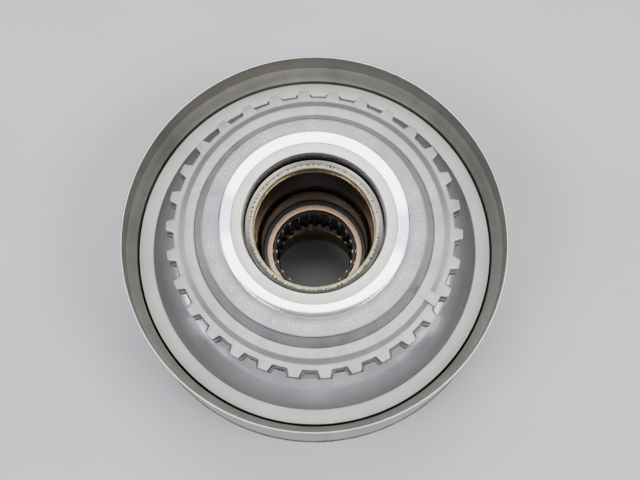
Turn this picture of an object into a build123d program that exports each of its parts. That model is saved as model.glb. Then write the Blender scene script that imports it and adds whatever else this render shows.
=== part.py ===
from build123d import *
import math
import os

# Torque converter, opened: the front cover is off, so the lock-up piston, the
# clutch hub and the turbine hub are seen from the engine side.
# Millimetres. +Z is the shaft axis and points to the engine side. The object
# stands on the end of its pump drive hub, and z = 0 is that end.

# ----------------------------------------------------------------- main sizes
RIM_R = 103.0            # outside radius of the drum wall
HUB_FACE_Z = 142.0       # engine-side face of the turbine hub, the top
RIM_Z = 111.0            # free edge of the drum wall
REGISTER_R = 101.8       # register that takes the front cover
REGISTER_Z = 96.6        # bottom of the register
DRUM_NECK_R = 97.4       # drum bore just outside the piston
DRUM_BORE_R = 99.6       # drum bore below the piston
JOINT_Z = 55.6           # weld plane between drum wall and impeller shell

# torus
T_R = 69.5               # radius of the torus circle
T_Z = 43.0               # split plane between impeller and turbine
IMP_A, IMP_B, IMP_E = 29.5, 20.5, 14.0      # inner surface of the impeller shell
IMP_T = 3.0                    # impeller shell thickness
TUR_A, TUR_B, TUR_E = 27.5, 19.2, 13.0      # inner surface of the turbine shell
TUR_T = 1.7                    # turbine shell thickness
CORE_A, CORE_B, CORE_E = 11.0, 8.0, 6.0     # core ring
CORE_T = 1.0
SPLIT = 0.4                    # half of the gap at the split plane
BRAZE = 0.08                   # braze gap between a blade and its shell or core ring
IMP_BLADES = 31
TUR_BLADES = 29
STA_BLADES = 19

# pump drive hub
PUMP_R = 29.0
PUMP_SEAT_R = 30.0
PUMP_SHOULDER_Z = 19.0
PUMP_BORE_R = 25.6
BUSH_R = 24.6
HUB_FLANGE_Z = 30.6

# turbine hub
SLEEVE_R = 35.0
SLEEVE_TOP_Z = 128.6
SLEEVE_BASE_Z = 56.4
UPPER_BORE_R = 30.4
LOWER_BORE_R = 28.4
STEP_Z = 100.0
CUP_R = 26.6
CUP_BORE_R = 23.2
CUP_Z0, CUP_Z1 = 66.6, 80.6
SPLINE_MINOR_R, SPLINE_MAJOR_R, SPLINE_N = 19.9, 21.3, 26

SEAL_ROOT_R, SEAL_Z0, SEAL_Z1 = 33.0, 76.0, 78.5
STOP_ROOT_R, STOP_Z0, STOP_Z1 = 33.4, 82.3, 83.8
ROLLER_PITCH_R, ROLLER_BR = 21.95, 1.2
WASHER_Z = 132.1

# hub casting
NOSE_R = 42.0
NOSE_BORE_R = 35.8
PILOT_R = 48.3
PLATEAU_Z = 136.2
PLATEAU_R = 57.3
JOURNAL_R = 61.2
PLATEAU2_Z = 129.0

# clutch hub
TOOTH_TIP_R = 76.6
TOOTH_ROOT_R = 72.5
TOOTH_N = 30
TOOTH_A0 = 10.3          # angle of the first tooth from +X
TOOTH_TIP_DEG = 3.5
TOOTH_ROOT_DEG = 5.8
DISC_Z0, DISC_Z1 = 122.4, 126.6
SPACER_TIP_R, SPACER_ROOT_R = 76.4, 73.3
SPACER_TIP_DEG, SPACER_ROOT_DEG = 5.8, 7.9
BAND_OUT_R, BAND_IN_R = 70.0, 66.8
KEY_DEG = 328.6

# piston
RING_OUT_R, RING_IN_R = 96.2, 88.4
RING_Z = 87.0
RING_T = 1.4
BOWL_FLOOR_Z = 74.0
BOWL_FILLET = 13.0
PISTON_T = 2.5
HUB_LIP_Z = 81.0
PISTON_BORE_R = 35.06

# damper
SPRING_Z = 108.0
SPRING_R = 54.0
SPRING_MEAN_R = 5.0
SPRING_WIRE_R = 1.45
SPRING_LEN = 42.0
SPRING_N = 6
PIN_R = 67.5

# stator
RACE_R = 30.0
RACE_MINOR_R, RACE_MAJOR_R, RACE_N = 22.4, 23.8, 28
ROLLER_R = 3.5
ROLLER_PCR = 33.55
ROLLER_N = 10

os.makedirs("parts", exist_ok=True)


# -------------------------------------------------------------------- helpers
def profile_edges(pts):
    """Closed outline in (radius, z). A point may carry a third value, the
    fillet radius at that corner."""
    n = len(pts)
    segs = []
    starts = []
    for i in range(n):
        p = pts[i]
        x, y = p[0], p[1]
        r = p[2] if len(p) > 2 else 0.0
        if r <= 0:
            starts.append(((x, y), (x, y), None))
            continue
        a = pts[i - 1]
        b = pts[(i + 1) % n]
        ux, uy = a[0] - x, a[1] - y
        vx, vy = b[0] - x, b[1] - y
        ul, vl = math.hypot(ux, uy), math.hypot(vx, vy)
        ux, uy, vx, vy = ux / ul, uy / ul, vx / vl, vy / vl
        ang = math.acos(max(-1.0, min(1.0, ux * vx + uy * vy)))
        t = r / math.tan(ang / 2)
        p1 = (x + ux * t, y + uy * t)
        p2 = (x + vx * t, y + vy * t)
        bx, by = ux + vx, uy + vy
        bl = math.hypot(bx, by)
        bx, by = bx / bl, by / bl
        d = r / math.sin(ang / 2)
        c = (x + bx * d, y + by * d)
        mid = (c[0] - bx * r, c[1] - by * r)
        starts.append((p1, p2, mid))
    for i in range(n):
        p1, p2, mid = starts[i]
        if mid is not None:
            segs.append(ThreePointArc((p1[0], 0, p1[1]), (mid[0], 0, mid[1]), (p2[0], 0, p2[1])))
        q1 = starts[(i + 1) % n][0]
        if math.hypot(q1[0] - p2[0], q1[1] - p2[1]) > 1e-6:
            segs.append(Line((p2[0], 0, p2[1]), (q1[0], 0, q1[1])))
    return segs


def rev(pts):
    """Turned solid from an outline in (radius, z)."""
    face = make_face(Wire(profile_edges(pts)).edges())
    return revolve(face, Axis.Z, 360)


def ring(r0, r1, z0, z1):
    return Pos(0, 0, z0) * (
        Cylinder(r1, z1 - z0, align=(Align.CENTER, Align.CENTER, Align.MIN))
        - Cylinder(r0, z1 - z0, align=(Align.CENTER, Align.CENTER, Align.MIN)))


def disc(r, z0, z1):
    return Pos(0, 0, z0) * Cylinder(r, z1 - z0, align=(Align.CENTER, Align.CENTER, Align.MIN))


def around(solid, n, start=0.0):
    return [Rot(0, 0, start + 360.0 * k / n) * solid for k in range(n)]


def prism(points, z0, z1):
    """Straight prism from a closed outline in (x, y)."""
    face = make_face(Polyline(*points, close=True))
    return extrude(Pos(0, 0, z0) * face, amount=z1 - z0, dir=(0, 0, 1))


def polar(r, deg):
    a = math.radians(deg)
    return (r * math.cos(a), r * math.sin(a))


def gear_outline(root, tip, n, tip_deg, root_deg, a0):
    """Trapezoid teeth on a root circle, as one closed outline."""
    pts = []
    for k in range(n):
        c = a0 + 360.0 * k / n
        nxt = c + 360.0 / n
        pts += [polar(root, c - root_deg / 2), polar(tip, c - tip_deg / 2),
                polar(tip, c), polar(tip, c + tip_deg / 2), polar(root, c + root_deg / 2)]
        gap0, gap1 = c + root_deg / 2, nxt - root_deg / 2
        pts += [polar(root, gap0 + (gap1 - gap0) * f) for f in (1 / 3, 2 / 3)]
    return pts


def spline_bore(minor, major, n, z0, z1):
    """Cutter for an internal spline: teeth gaps reach out to the major radius."""
    step = 360.0 / n
    pts = []
    for k in range(n):
        c = k * step
        pts += [polar(minor, c - step * 0.32), polar(major, c - step * 0.22),
                polar(major, c), polar(major, c + step * 0.22), polar(minor, c + step * 0.32)]
    cutter = prism(pts, z0, z1)
    return cutter + disc(minor, z0, z1)


def as_nodes(name, solids):
    if not isinstance(solids, (list, tuple)):
        solids = [solids]
    flat = []
    for s in solids:
        flat += list(s.solids()) if hasattr(s, "solids") else [s]
    shape = flat[0] if len(flat) == 1 else Compound(children=flat)
    export_step(shape, f"parts/{name}.step")


def oval(a, b, r, grow=0.0):
    """Four-arc oval round the torus circle: half sizes a and b, end radius r.
    grow offsets the whole outline outwards."""
    h = ((a - r) ** 2 - (b - r) ** 2) / (2 * (b - r))
    big = b + h + grow
    e = a - r
    ux, uz = e, h
    ul = math.hypot(ux, uz)
    tx, tz = ux / ul * big, uz / ul * big - h
    end = e + r + grow
    bot = b + grow

    def p(x, z):
        return (T_R + x, 0, T_Z + z)
    arcs = [ThreePointArc(p(tx, -tz), p(end, 0), p(tx, tz)), ThreePointArc(p(tx, tz), p(0, bot), p(-tx, tz)),
            ThreePointArc(p(-tx, tz), p(-end, 0), p(-tx, -tz)), ThreePointArc(p(-tx, -tz), p(0, -bot), p(tx, -tz))]
    return make_face(Wire(arcs).edges())


def oval_z(a, b, r, radius):
    """Height of the oval above the split plane at a given radius."""
    h = ((a - r) ** 2 - (b - r) ** 2) / (2 * (b - r))
    big = b + h
    e = a - r
    x = abs(radius - T_R)
    tx = e / math.hypot(e, h) * big
    if x <= tx:
        return math.sqrt(big ** 2 - x ** 2) - h
    if x - e >= r:
        return 0.0
    return math.sqrt(r ** 2 - (x - e) ** 2)


def rect(r0, r1, z0, z1):
    return Plane.XZ * Pos((r0 + r1) / 2, (z0 + z1) / 2) * Rectangle(r1 - r0, z1 - z0)


def needle_thrust(r0, r1, zmid, needle_r, n, plate_t):
    """Flat cage with radial needles: returns cage solid and needle solids."""
    cage = ring(r0, r1, zmid - plate_t / 2, zmid + plate_t / 2)
    length = (r1 - r0) - 1.6
    mid = (r0 + r1) / 2
    slot = Pos(mid, 0, zmid) * Box(length + 0.1, 2 * needle_r + 0.1, plate_t * 3)
    needle = Pos(mid, 0, zmid) * Rot(0, 90, 0) * Cylinder(needle_r, length)
    cage = cage - around(slot, n)
    return cage, around(needle, n)


# ------------------------------------------------------------- housing pieces
# Drum wall: thin free edge, cover register, rounded ledge and neck.
ledge = [
    Line((DRUM_BORE_R, 0, JOINT_Z), (RIM_R, 0, JOINT_Z)),
    Line((RIM_R, 0, JOINT_Z), (RIM_R, 0, RIM_Z - 0.3)),
    Line((RIM_R, 0, RIM_Z - 0.3), (RIM_R - 0.3, 0, RIM_Z)),
    Line((RIM_R - 0.3, 0, RIM_Z), (REGISTER_R, 0, RIM_Z)),
    Line((REGISTER_R, 0, RIM_Z), (REGISTER_R, 0, REGISTER_Z)),
    ThreePointArc((REGISTER_R, 0, REGISTER_Z), (100.2, 0, 91.4), (DRUM_NECK_R, 0, 88.0)),
    Line((DRUM_NECK_R, 0, 88.0), (DRUM_NECK_R, 0, 82.0)),
    Line((DRUM_NECK_R, 0, 82.0), (DRUM_BORE_R, 0, 79.8)),
    Line((DRUM_BORE_R, 0, 79.8), (DRUM_BORE_R, 0, JOINT_Z)),
]
cover_rim = revolve(make_face(Wire(ledge).edges()), Axis.Z, 360)
as_nodes("cover_rim", cover_rim)

# Impeller shell: lower half of the torus, flat web to the hub, wall to the weld.
shell_2d = (oval(IMP_A, IMP_B, IMP_E, IMP_T) - oval(IMP_A, IMP_B, IMP_E)) & rect(46.0, 110, 0, T_Z)
web_2d = rect(PUMP_SEAT_R, 46.0, 27.0, HUB_FLANGE_Z)
wall_2d = make_face(Polyline((DRUM_BORE_R, 0, 41.4), (101.9, 0, 41.4), (RIM_R, 0, 44.5), (RIM_R, 0, JOINT_Z),
                             (DRUM_BORE_R, 0, JOINT_Z), close=True))
impeller_shell = (revolve(shell_2d, Axis.Z, 360) + revolve(web_2d, Axis.Z, 360)
                  + revolve(wall_2d, Axis.Z, 360)) - disc(DRUM_BORE_R, 42.6, 60)
as_nodes("impeller_shell", impeller_shell)

# Weld bead round the joint.
weld = rev([(RIM_R, JOINT_Z - 2.6), (RIM_R + 0.9, JOINT_Z - 1.2, 0.6), (RIM_R + 0.9, JOINT_Z + 1.2, 0.6),
            (RIM_R, JOINT_Z + 2.6)])
as_nodes("weld_bead", weld)

# Balance weights: three welded patches low on the shell.
skin = revolve((oval(IMP_A, IMP_B, IMP_E, IMP_T + 2.2) - oval(IMP_A, IMP_B, IMP_E, IMP_T))
               & rect(84.0, 93.0, 0, T_Z), Axis.Z, 360)
weights = []
for a, w in ((24.0, 9.0), (160.0, 6.0), (251.0, 12.0)):
    wedge = prism([(0, 0), polar(130, a - w / 2), polar(130, a + w / 2)], 0, 60)
    weights.append(skin & wedge)
as_nodes("balance_weights", weights)

# Pump drive hub: tube with a flange inside the shell and two drive slots.
pump_hub = rev([(PUMP_BORE_R, 0.0), (PUMP_R - 0.8, 0.0), (PUMP_R, 0.8), (PUMP_R, PUMP_SHOULDER_Z),
                (PUMP_SEAT_R, PUMP_SHOULDER_Z + 0.8), (PUMP_SEAT_R, HUB_FLANGE_Z),
                (38.0, HUB_FLANGE_Z), (38.0, 33.6), (PUMP_BORE_R, 33.6)])
slot = Box(80, 9.0, 8.0, align=(Align.CENTER, Align.CENTER, Align.MIN))
pump_hub = pump_hub - Pos(0, 0, -0.01) * slot
as_nodes("pump_drive_hub", pump_hub)
as_nodes("pump_hub_bush", ring(BUSH_R, PUMP_BORE_R, 9.0, 29.0))

# Impeller blades and core ring.
def blade_outline(a, b, e, radii_out, radii_core, side):
    """Flat blade outline: along the shell, then back along the core ring."""
    out = [(r, T_Z + side * max(oval_z(a, b, e, r) - BRAZE, SPLIT)) for r in radii_out]
    g = 0.5
    core = [(r, T_Z + side * max(oval_z(CORE_A + g, CORE_B + g, CORE_E + g, r), SPLIT)) for r in radii_core]
    return out + core


def blade(points, thick, lean):
    face = make_face(Polyline(*[(x, 0, z) for x, z in points], close=True))
    plate = extrude(face, amount=thick / 2, dir=(0, 1, 0), both=True)
    return Pos(T_R, 0, 0) * Rot(0, 0, lean) * Pos(-T_R, 0, 0) * plate


imp_pts = [(62.0, 34.2), (48.0, 34.2)] + blade_outline(
    IMP_A, IMP_B, IMP_E, (48.0, 52, 57, 63, 69.5, 76, 82, 87, 91, 94, 96.3, 97.6, 98.2),
    (81.0, 80.4, 79.0, 77.0, 73.5, 69.5, 65.5, 63.0), -1)
as_nodes("impeller_blades", around(blade(imp_pts, 1.1, 6.0), IMP_BLADES))
core_2d = (oval(CORE_A, CORE_B, CORE_E) - oval(CORE_A, CORE_B, CORE_E, -CORE_T)) & rect(62.2, 110, 0, T_Z - SPLIT)
as_nodes("impeller_core_ring", revolve(core_2d, Axis.Z, 360))
as_nodes("rear_bearing_race", ring(30.2, 38.0, 33.6, 34.4))

# Rear thrust bearing.
cage, needles = needle_thrust(30.6, 37.6, 35.5, 1.0, 30, 0.9)
as_nodes("rear_bearing_cage", cage)
as_nodes("rear_bearing_needles", needles)

# --------------------------------------------------------------------- stator
race = ring(RACE_MAJOR_R - 3, RACE_R, 38.2, 51.8) - spline_bore(RACE_MINOR_R, RACE_MAJOR_R, RACE_N, 38, 52)
as_nodes("stator_inner_race", race)

outer_race = ring(31.0, 42.9, 38.0, 52.0)
pocket = Pos(ROLLER_PCR, 0, 45) * Cylinder(ROLLER_R + 0.15, 20)
pocket_open = Pos(29.0, 0, 45) * Box(8.0, 2 * ROLLER_R + 0.3, 20)
spring_room = Rot(0, 0, 9.6) * Pos(32.2, 0, 45) * Box(6.4, 6.4, 20)
outer_race = outer_race - around(pocket + pocket_open + spring_room, ROLLER_N)
as_nodes("clutch_outer_race", outer_race)
as_nodes("clutch_rollers", around(Pos(ROLLER_PCR, 0, 45) * Cylinder(ROLLER_R, 11.8), ROLLER_N))

# Folded leaf springs behind the rollers.
half = 0.2
zig = [(-1.5 if i % 2 == 0 else 1.5, 0.6 + i * 1.1) for i in range(5)]
leaf = disc(half, 0, 10.0)
leaf = Pos(zig[0][0], zig[0][1], 0) * leaf
for (x0, y0), (x1, y1) in zip(zig, zig[1:]):
    ln = math.hypot(x1 - x0, y1 - y0)
    nx, ny = -(y1 - y0) / ln * half, (x1 - x0) / ln * half
    leaf = leaf + prism([(x0 + nx, y0 + ny), (x0 - nx, y0 - ny), (x1 - nx, y1 - ny), (x1 + nx, y1 + ny)], 0, 10.0)
    leaf = leaf + Pos(x1, y1, 0) * disc(half, 0, 10.0)
leaf = Rot(0, 0, 6.0) * Pos(33.2, 0, 40.0) * leaf
as_nodes("roller_springs", around(leaf, ROLLER_N))

wheel_hub = rev([(43.0, 36.6), (47.5, 36.6), (47.5, 55.4), (43.0, 55.4), (43.0, 54.65), (44.05, 54.65),
                 (44.05, 53.4), (43.0, 53.4)])
shroud = ring(58.6, 60.4, 36.6, 49.4)
vane_zone = ring(47.3, 58.8, 36.6, 50.6)
vane = Pos(53, 0, 43.4) * Rot(34, 0, 0) * Pos(0, 0, 0) * Box(16, 2.6, 22)
vane = vane & vane_zone
stator_wheel = wheel_hub + shroud
for v in around(vane, STA_BLADES):
    stator_wheel = stator_wheel + v
as_nodes("stator_wheel", stator_wheel)
as_nodes("stator_thrust_plate", ring(30.6, 42.9, 36.6, 38.0))
as_nodes("stator_retainer_plate", ring(30.6, 42.9, 52.0, 53.4))
snap = ring(41.2, 44.0, 53.42, 54.6) - Pos(44, 0, 54) * Box(12, 5, 4)
as_nodes("stator_snap_ring", snap)

# Front stator thrust bearing.
cage, needles = needle_thrust(30.6, 37.6, 54.5, 1.0, 30, 0.9)
as_nodes("stator_bearing_cage", cage)
as_nodes("stator_bearing_needles", needles)

# -------------------------------------------------------------------- turbine
as_nodes("turbine_bearing_race", ring(30.2, 38.0, 55.6, SLEEVE_BASE_Z))

# Hub sleeve: splined foot, bearing seat, stepped bore, seal and ring grooves.
sleeve = rev([(18.0, SLEEVE_BASE_Z), (42.0, SLEEVE_BASE_Z), (42.0, 58.9), (SLEEVE_R, 58.9),
              (SLEEVE_R, SEAL_Z0), (SEAL_ROOT_R, SEAL_Z0), (SEAL_ROOT_R, SEAL_Z1), (SLEEVE_R, SEAL_Z1),
              (SLEEVE_R, STOP_Z0), (STOP_ROOT_R, STOP_Z0), (STOP_ROOT_R, STOP_Z1), (SLEEVE_R, STOP_Z1),
              (SLEEVE_R, SLEEVE_TOP_Z), (UPPER_BORE_R + 0.6, SLEEVE_TOP_Z), (UPPER_BORE_R, SLEEVE_TOP_Z - 0.6),
              (UPPER_BORE_R, STEP_Z), (LOWER_BORE_R, STEP_Z - 1.5), (LOWER_BORE_R, CUP_Z1 + 0.6),
              (LOWER_BORE_R - 0.6, CUP_Z1), (CUP_R, CUP_Z1), (CUP_R, CUP_Z0), (18.0, CUP_Z0)])
sleeve = sleeve - spline_bore(SPLINE_MINOR_R, SPLINE_MAJOR_R, SPLINE_N, 50, CUP_Z0 + 0.01)
rivet_hole = Pos(39.5, 0, 57.6) * Cylinder(2.2, 10)
sleeve = sleeve - around(rivet_hole, 10)
as_nodes("turbine_hub", sleeve)
as_nodes("needle_cup", ring(CUP_BORE_R, CUP_R, CUP_Z0, CUP_Z1))

# Caged needle rollers in the cup.
mid_z = (CUP_Z0 + CUP_Z1) / 2
roller = Pos(ROLLER_PITCH_R, 0, mid_z) * Cylinder(ROLLER_BR, 9.6)
cage = (ring(21.35, 22.75, CUP_Z0 + 0.8, CUP_Z1 - 0.8)
        - around(Pos(22.0, 0, mid_z) * Box(4, 2 * ROLLER_BR + 0.1, 9.7), 22))
as_nodes("needle_cage", cage)
as_nodes("needle_rollers", around(roller, 22))

# Turbine shell, blades, core ring and rivets.
tshell = revolve((oval(TUR_A, TUR_B, TUR_E, TUR_T) - oval(TUR_A, TUR_B, TUR_E))
                 & rect(54.0, 110, T_Z + SPLIT, 90), Axis.Z, 360)
tflange = ring(SLEEVE_R, 54.5, 58.9, 60.6)
turbine_shell = (tshell + tflange) - around(rivet_hole, 10)
as_nodes("turbine_shell", turbine_shell)
tur_pts = [(62.4, 56.6), (55.6, 56.6)] + blade_outline(
    TUR_A, TUR_B, TUR_E, (55.6, 59, 63, 69.5, 76, 81, 85.5, 89, 92, 94.2, 95.6, 96.2),
    (81.0, 80.4, 79.0, 77.0, 73.5, 69.5, 65.5, 63.0), 1)
as_nodes("turbine_blades", around(blade(tur_pts, 0.9, -6.0), TUR_BLADES))
tcore_2d = (oval(CORE_A, CORE_B, CORE_E) - oval(CORE_A, CORE_B, CORE_E, -CORE_T)) & rect(62.2, 110, T_Z + SPLIT, 90)
as_nodes("turbine_core_ring", revolve(tcore_2d, Axis.Z, 360))
rivet = (Pos(39.5, 0, SLEEVE_BASE_Z) * Cylinder(2.2, 60.6 - SLEEVE_BASE_Z, align=(Align.CENTER, Align.CENTER, Align.MIN))
         + Pos(39.5, 0, 60.6) * Cylinder(3.6, 1.7, align=(Align.CENTER, Align.CENTER, Align.MIN)))
as_nodes("turbine_rivets", around(rivet, 10))

# Seal and stop ring on the sleeve for the piston.
as_nodes("piston_inner_seal", ring(SEAL_ROOT_R, SLEEVE_R + 0.03, SEAL_Z0 + 0.05, SEAL_Z1 - 0.05))
stop = ring(STOP_ROOT_R, 36.9, STOP_Z0 + 0.02, STOP_Z1 - 0.02) - Pos(-35, 0, STOP_Z0) * Box(8, 6, 6)
as_nodes("piston_stop_ring", stop)

# Cast hub: nose, raised plateau, sloping step wall and journal for the clutch hub.
casting = rev([(SLEEVE_R, 114.0), (43.0, 114.0, 2.0), (48.0, 118.6, 3.0), (JOURNAL_R - 1.6, 119.6), (JOURNAL_R, 121.2),
               (JOURNAL_R, PLATEAU2_Z + 0.4), (PLATEAU_R, PLATEAU_Z, 1.2), (NOSE_R, PLATEAU_Z),
               (NOSE_R, HUB_FACE_Z), (NOSE_BORE_R + 1.0, HUB_FACE_Z), (NOSE_BORE_R, HUB_FACE_Z - 1.0),
               (NOSE_BORE_R, SLEEVE_TOP_Z), (SLEEVE_R, SLEEVE_TOP_Z)])
as_nodes("hub_casting", casting)
as_nodes("pilot_ring", rev([(NOSE_R, PLATEAU_Z), (PILOT_R, PLATEAU_Z), (PILOT_R, HUB_FACE_Z - 0.6),
                            (PILOT_R - 0.6, HUB_FACE_Z), (NOSE_R, HUB_FACE_Z)]))
as_nodes("front_thrust_race", ring(31.3, 35.7, SLEEVE_TOP_Z, SLEEVE_TOP_Z + 1.2))
cage, needles = needle_thrust(31.5, 35.5, SLEEVE_TOP_Z + 2.4, 0.95, 60, 0.9)
inner_lip = ring(31.5, 32.1, SLEEVE_TOP_Z + 1.5, SLEEVE_TOP_Z + 3.4)
outer_lip = ring(34.9, 35.5, SLEEVE_TOP_Z + 1.5, SLEEVE_TOP_Z + 3.4)
as_nodes("front_thrust_cage", cage + inner_lip + outer_lip)
as_nodes("front_thrust_needles", needles)
# Dished top race lying on the needles, recessed in the nose.
as_nodes("front_thrust_washer", rev([(31.1, WASHER_Z), (35.4, WASHER_Z), (35.4, WASHER_Z + 1.9), (35.0, WASHER_Z + 2.2),
                                     (33.3, WASHER_Z + 1.2), (33.1, WASHER_Z + 0.9), (32.8, WASHER_Z + 0.9),
                                     (32.6, WASHER_Z + 1.0), (31.4, WASHER_Z + 0.8), (31.1, WASHER_Z + 0.5)]))

# --------------------------------------------------------------------- damper
# Drive flange fixed on the sleeve, six arms between the springs.
flange = ring(SLEEVE_R, 46.5, SPRING_Z - 1.4, SPRING_Z + 1.4)
arm = prism([polar(46.0, -4.2), (63.0, -3.4), (63.0, 3.4), polar(46.0, 4.2)], SPRING_Z - 1.4, SPRING_Z + 1.4)
for a in around(arm, SPRING_N):
    flange = flange + a
as_nodes("damper_flange", flange)

window = Pos(SPRING_R, 0, SPRING_Z) * Box(12.2, SPRING_LEN + 0.8, 20)
pin_hole = Pos(PIN_R, 0, SPRING_Z + 5) * Cylinder(2.5, 40)
lug_notch = Pos(71.6, 0, SPRING_Z - 4) * Box(8.2, 11.8, 10)
lower = ring(44.0, 72.0, SPRING_Z - 4.8, SPRING_Z - 2.6)
lower = lower - around(window, SPRING_N, 30) - around(pin_hole, SPRING_N) - around(lug_notch, SPRING_N, 30)
as_nodes("damper_lower_plate", lower)
upper = ring(44.0, 72.0, SPRING_Z + 2.6, SPRING_Z + 4.8)
upper = upper - around(window, SPRING_N, 30) - around(pin_hole, SPRING_N)
as_nodes("damper_upper_plate", upper)

# Toothed spacer ring under the clutch hub.
spacer = prism(gear_outline(SPACER_ROOT_R, SPACER_TIP_R, TOOTH_N, SPACER_TIP_DEG, SPACER_ROOT_DEG, TOOTH_A0),
               DISC_Z0 - 3.8, DISC_Z0 - 0.8) - disc(64.0, 100, 130)
spacer = spacer - around(pin_hole, SPRING_N)
as_nodes("clutch_spacer_ring", spacer)

# Clutch hub: toothed disc, sloping band and upper land on the casting's journal.
hub_body = rev([(JOURNAL_R + 0.06, DISC_Z0), (84.0, DISC_Z0), (84.0, DISC_Z1), (BAND_OUT_R, DISC_Z1),
                (BAND_IN_R, PLATEAU2_Z), (JOURNAL_R + 0.06, PLATEAU2_Z)])
teeth = prism(gear_outline(TOOTH_ROOT_R, TOOTH_TIP_R, TOOTH_N, TOOTH_TIP_DEG, TOOTH_ROOT_DEG, TOOTH_A0), 110, 140)
clutch_hub = hub_body & teeth
clutch_hub = clutch_hub - around(Pos(PIN_R, 0, DISC_Z0 + 0.8) * Cylinder(2.5, 4.0), SPRING_N)
as_nodes("clutch_hub", clutch_hub)

# Index key welded across the sloping band.
key = prism([(62.4, -2.2), (73.0, -3.0), (73.0, 3.0), (62.4, 2.2)], DISC_Z1 - 1, PLATEAU2_Z + 0.9)
key = Rot(0, 0, KEY_DEG) * key - hub_body
as_nodes("index_key", key)

# Stop pins: shanks through the plates, spacer collars between them.


def pin_step(r, z0, z1):
    return Pos(PIN_R, 0, z0) * Cylinder(r, z1 - z0, align=(Align.CENTER, Align.CENTER, Align.MIN))


pin = (pin_step(2.5, SPRING_Z - 6.2, DISC_Z0 + 2.8) + pin_step(3.6, SPRING_Z - 6.4, SPRING_Z - 4.8)
       + pin_step(3.7, SPRING_Z - 2.6, SPRING_Z + 2.6) + pin_step(3.7, SPRING_Z + 4.8, DISC_Z0 - 3.8)
       + pin_step(3.4, DISC_Z0 - 0.8, DISC_Z0))
as_nodes("stop_pins", around(pin, SPRING_N))

# Coil springs.
pitch = 5.2
turn_h = SPRING_LEN - 2 * SPRING_WIRE_R
helix = Helix(pitch=pitch, height=turn_h, radius=SPRING_MEAN_R)
sec = Plane(origin=helix @ 0, z_dir=helix % 0) * Circle(SPRING_WIRE_R)
coil = sweep(sec, path=helix)
coil = Pos(SPRING_R, turn_h / 2, SPRING_Z) * Rot(90, 0, 0) * coil
as_nodes("damper_springs", around(coil, SPRING_N, 30))

# --------------------------------------------------------------------- piston
cx, cz = RING_IN_R - BOWL_FILLET, BOWL_FLOOR_Z + BOWL_FILLET
seat_z = RING_Z - RING_T
r_in = cx + math.sqrt(BOWL_FILLET ** 2 - (cz - seat_z) ** 2)
ro = BOWL_FILLET + PISTON_T
flange_z = seat_z - PISTON_T
r_out = cx + math.sqrt(ro ** 2 - (cz - flange_z) ** 2)
c45 = math.cos(math.radians(45))


def arc_pt(rad, deg):
    return (cx + rad * math.cos(math.radians(deg)), 0, cz - rad * math.sin(math.radians(deg)))


zb = BOWL_FLOOR_Z - PISTON_T
edges = [
    ThreePointArc((r_in, 0, seat_z), arc_pt(BOWL_FILLET, 48), (cx, 0, BOWL_FLOOR_Z)),
    Line((cx, 0, BOWL_FLOOR_Z), (37.8, 0, BOWL_FLOOR_Z)),
    Line((37.8, 0, BOWL_FLOOR_Z), (37.8, 0, HUB_LIP_Z)),
    Line((37.8, 0, HUB_LIP_Z), (PISTON_BORE_R, 0, HUB_LIP_Z)),
    Line((PISTON_BORE_R, 0, HUB_LIP_Z), (PISTON_BORE_R, 0, zb)),
    Line((PISTON_BORE_R, 0, zb), (cx, 0, zb)),
    ThreePointArc((cx, 0, zb), arc_pt(ro, 52), (r_out, 0, flange_z)),
    Line((r_out, 0, flange_z), (RING_OUT_R, 0, flange_z)),
    Line((RING_OUT_R, 0, flange_z), (RING_OUT_R, 0, seat_z)),
    Line((RING_OUT_R, 0, seat_z), (r_in, 0, seat_z)),
]
piston = revolve(make_face(Wire(edges).edges()), Axis.Z, 360)
as_nodes("lockup_piston", piston)
as_nodes("friction_ring", ring(RING_IN_R, RING_OUT_R, seat_z, RING_Z))
lug_top = (Pos(69.4, 0, BOWL_FLOOR_Z) * Box(2.6, 11.0, SPRING_Z - 0.6 - BOWL_FLOOR_Z, align=(Align.CENTER, Align.CENTER, Align.MIN))
           + Pos(66.0, 0, BOWL_FLOOR_Z) * Box(9.4, 11.0, 2.4, align=(Align.CENTER, Align.CENTER, Align.MIN)))
as_nodes("piston_drive_lugs", around(lug_top, SPRING_N, 30))
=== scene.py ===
import bpy
import math
import random
from mathutils import Vector, Matrix


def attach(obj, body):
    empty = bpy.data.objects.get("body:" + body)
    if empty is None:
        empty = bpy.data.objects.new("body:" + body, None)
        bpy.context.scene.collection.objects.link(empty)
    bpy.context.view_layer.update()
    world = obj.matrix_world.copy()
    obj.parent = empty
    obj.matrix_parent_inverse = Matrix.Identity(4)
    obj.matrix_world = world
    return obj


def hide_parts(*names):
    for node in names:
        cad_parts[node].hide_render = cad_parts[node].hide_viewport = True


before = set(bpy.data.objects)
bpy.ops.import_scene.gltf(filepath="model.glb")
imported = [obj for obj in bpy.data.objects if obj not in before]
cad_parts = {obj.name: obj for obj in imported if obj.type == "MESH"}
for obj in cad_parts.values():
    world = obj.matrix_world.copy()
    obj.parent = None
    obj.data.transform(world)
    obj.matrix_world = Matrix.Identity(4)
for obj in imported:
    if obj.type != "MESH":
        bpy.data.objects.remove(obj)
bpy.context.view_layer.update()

MM = 0.001
random.seed(7)

# =====================================================================
# mesh helpers (all inputs in millimetres, meshes in metres)
# =====================================================================
SHARP = math.radians(28)


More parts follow.
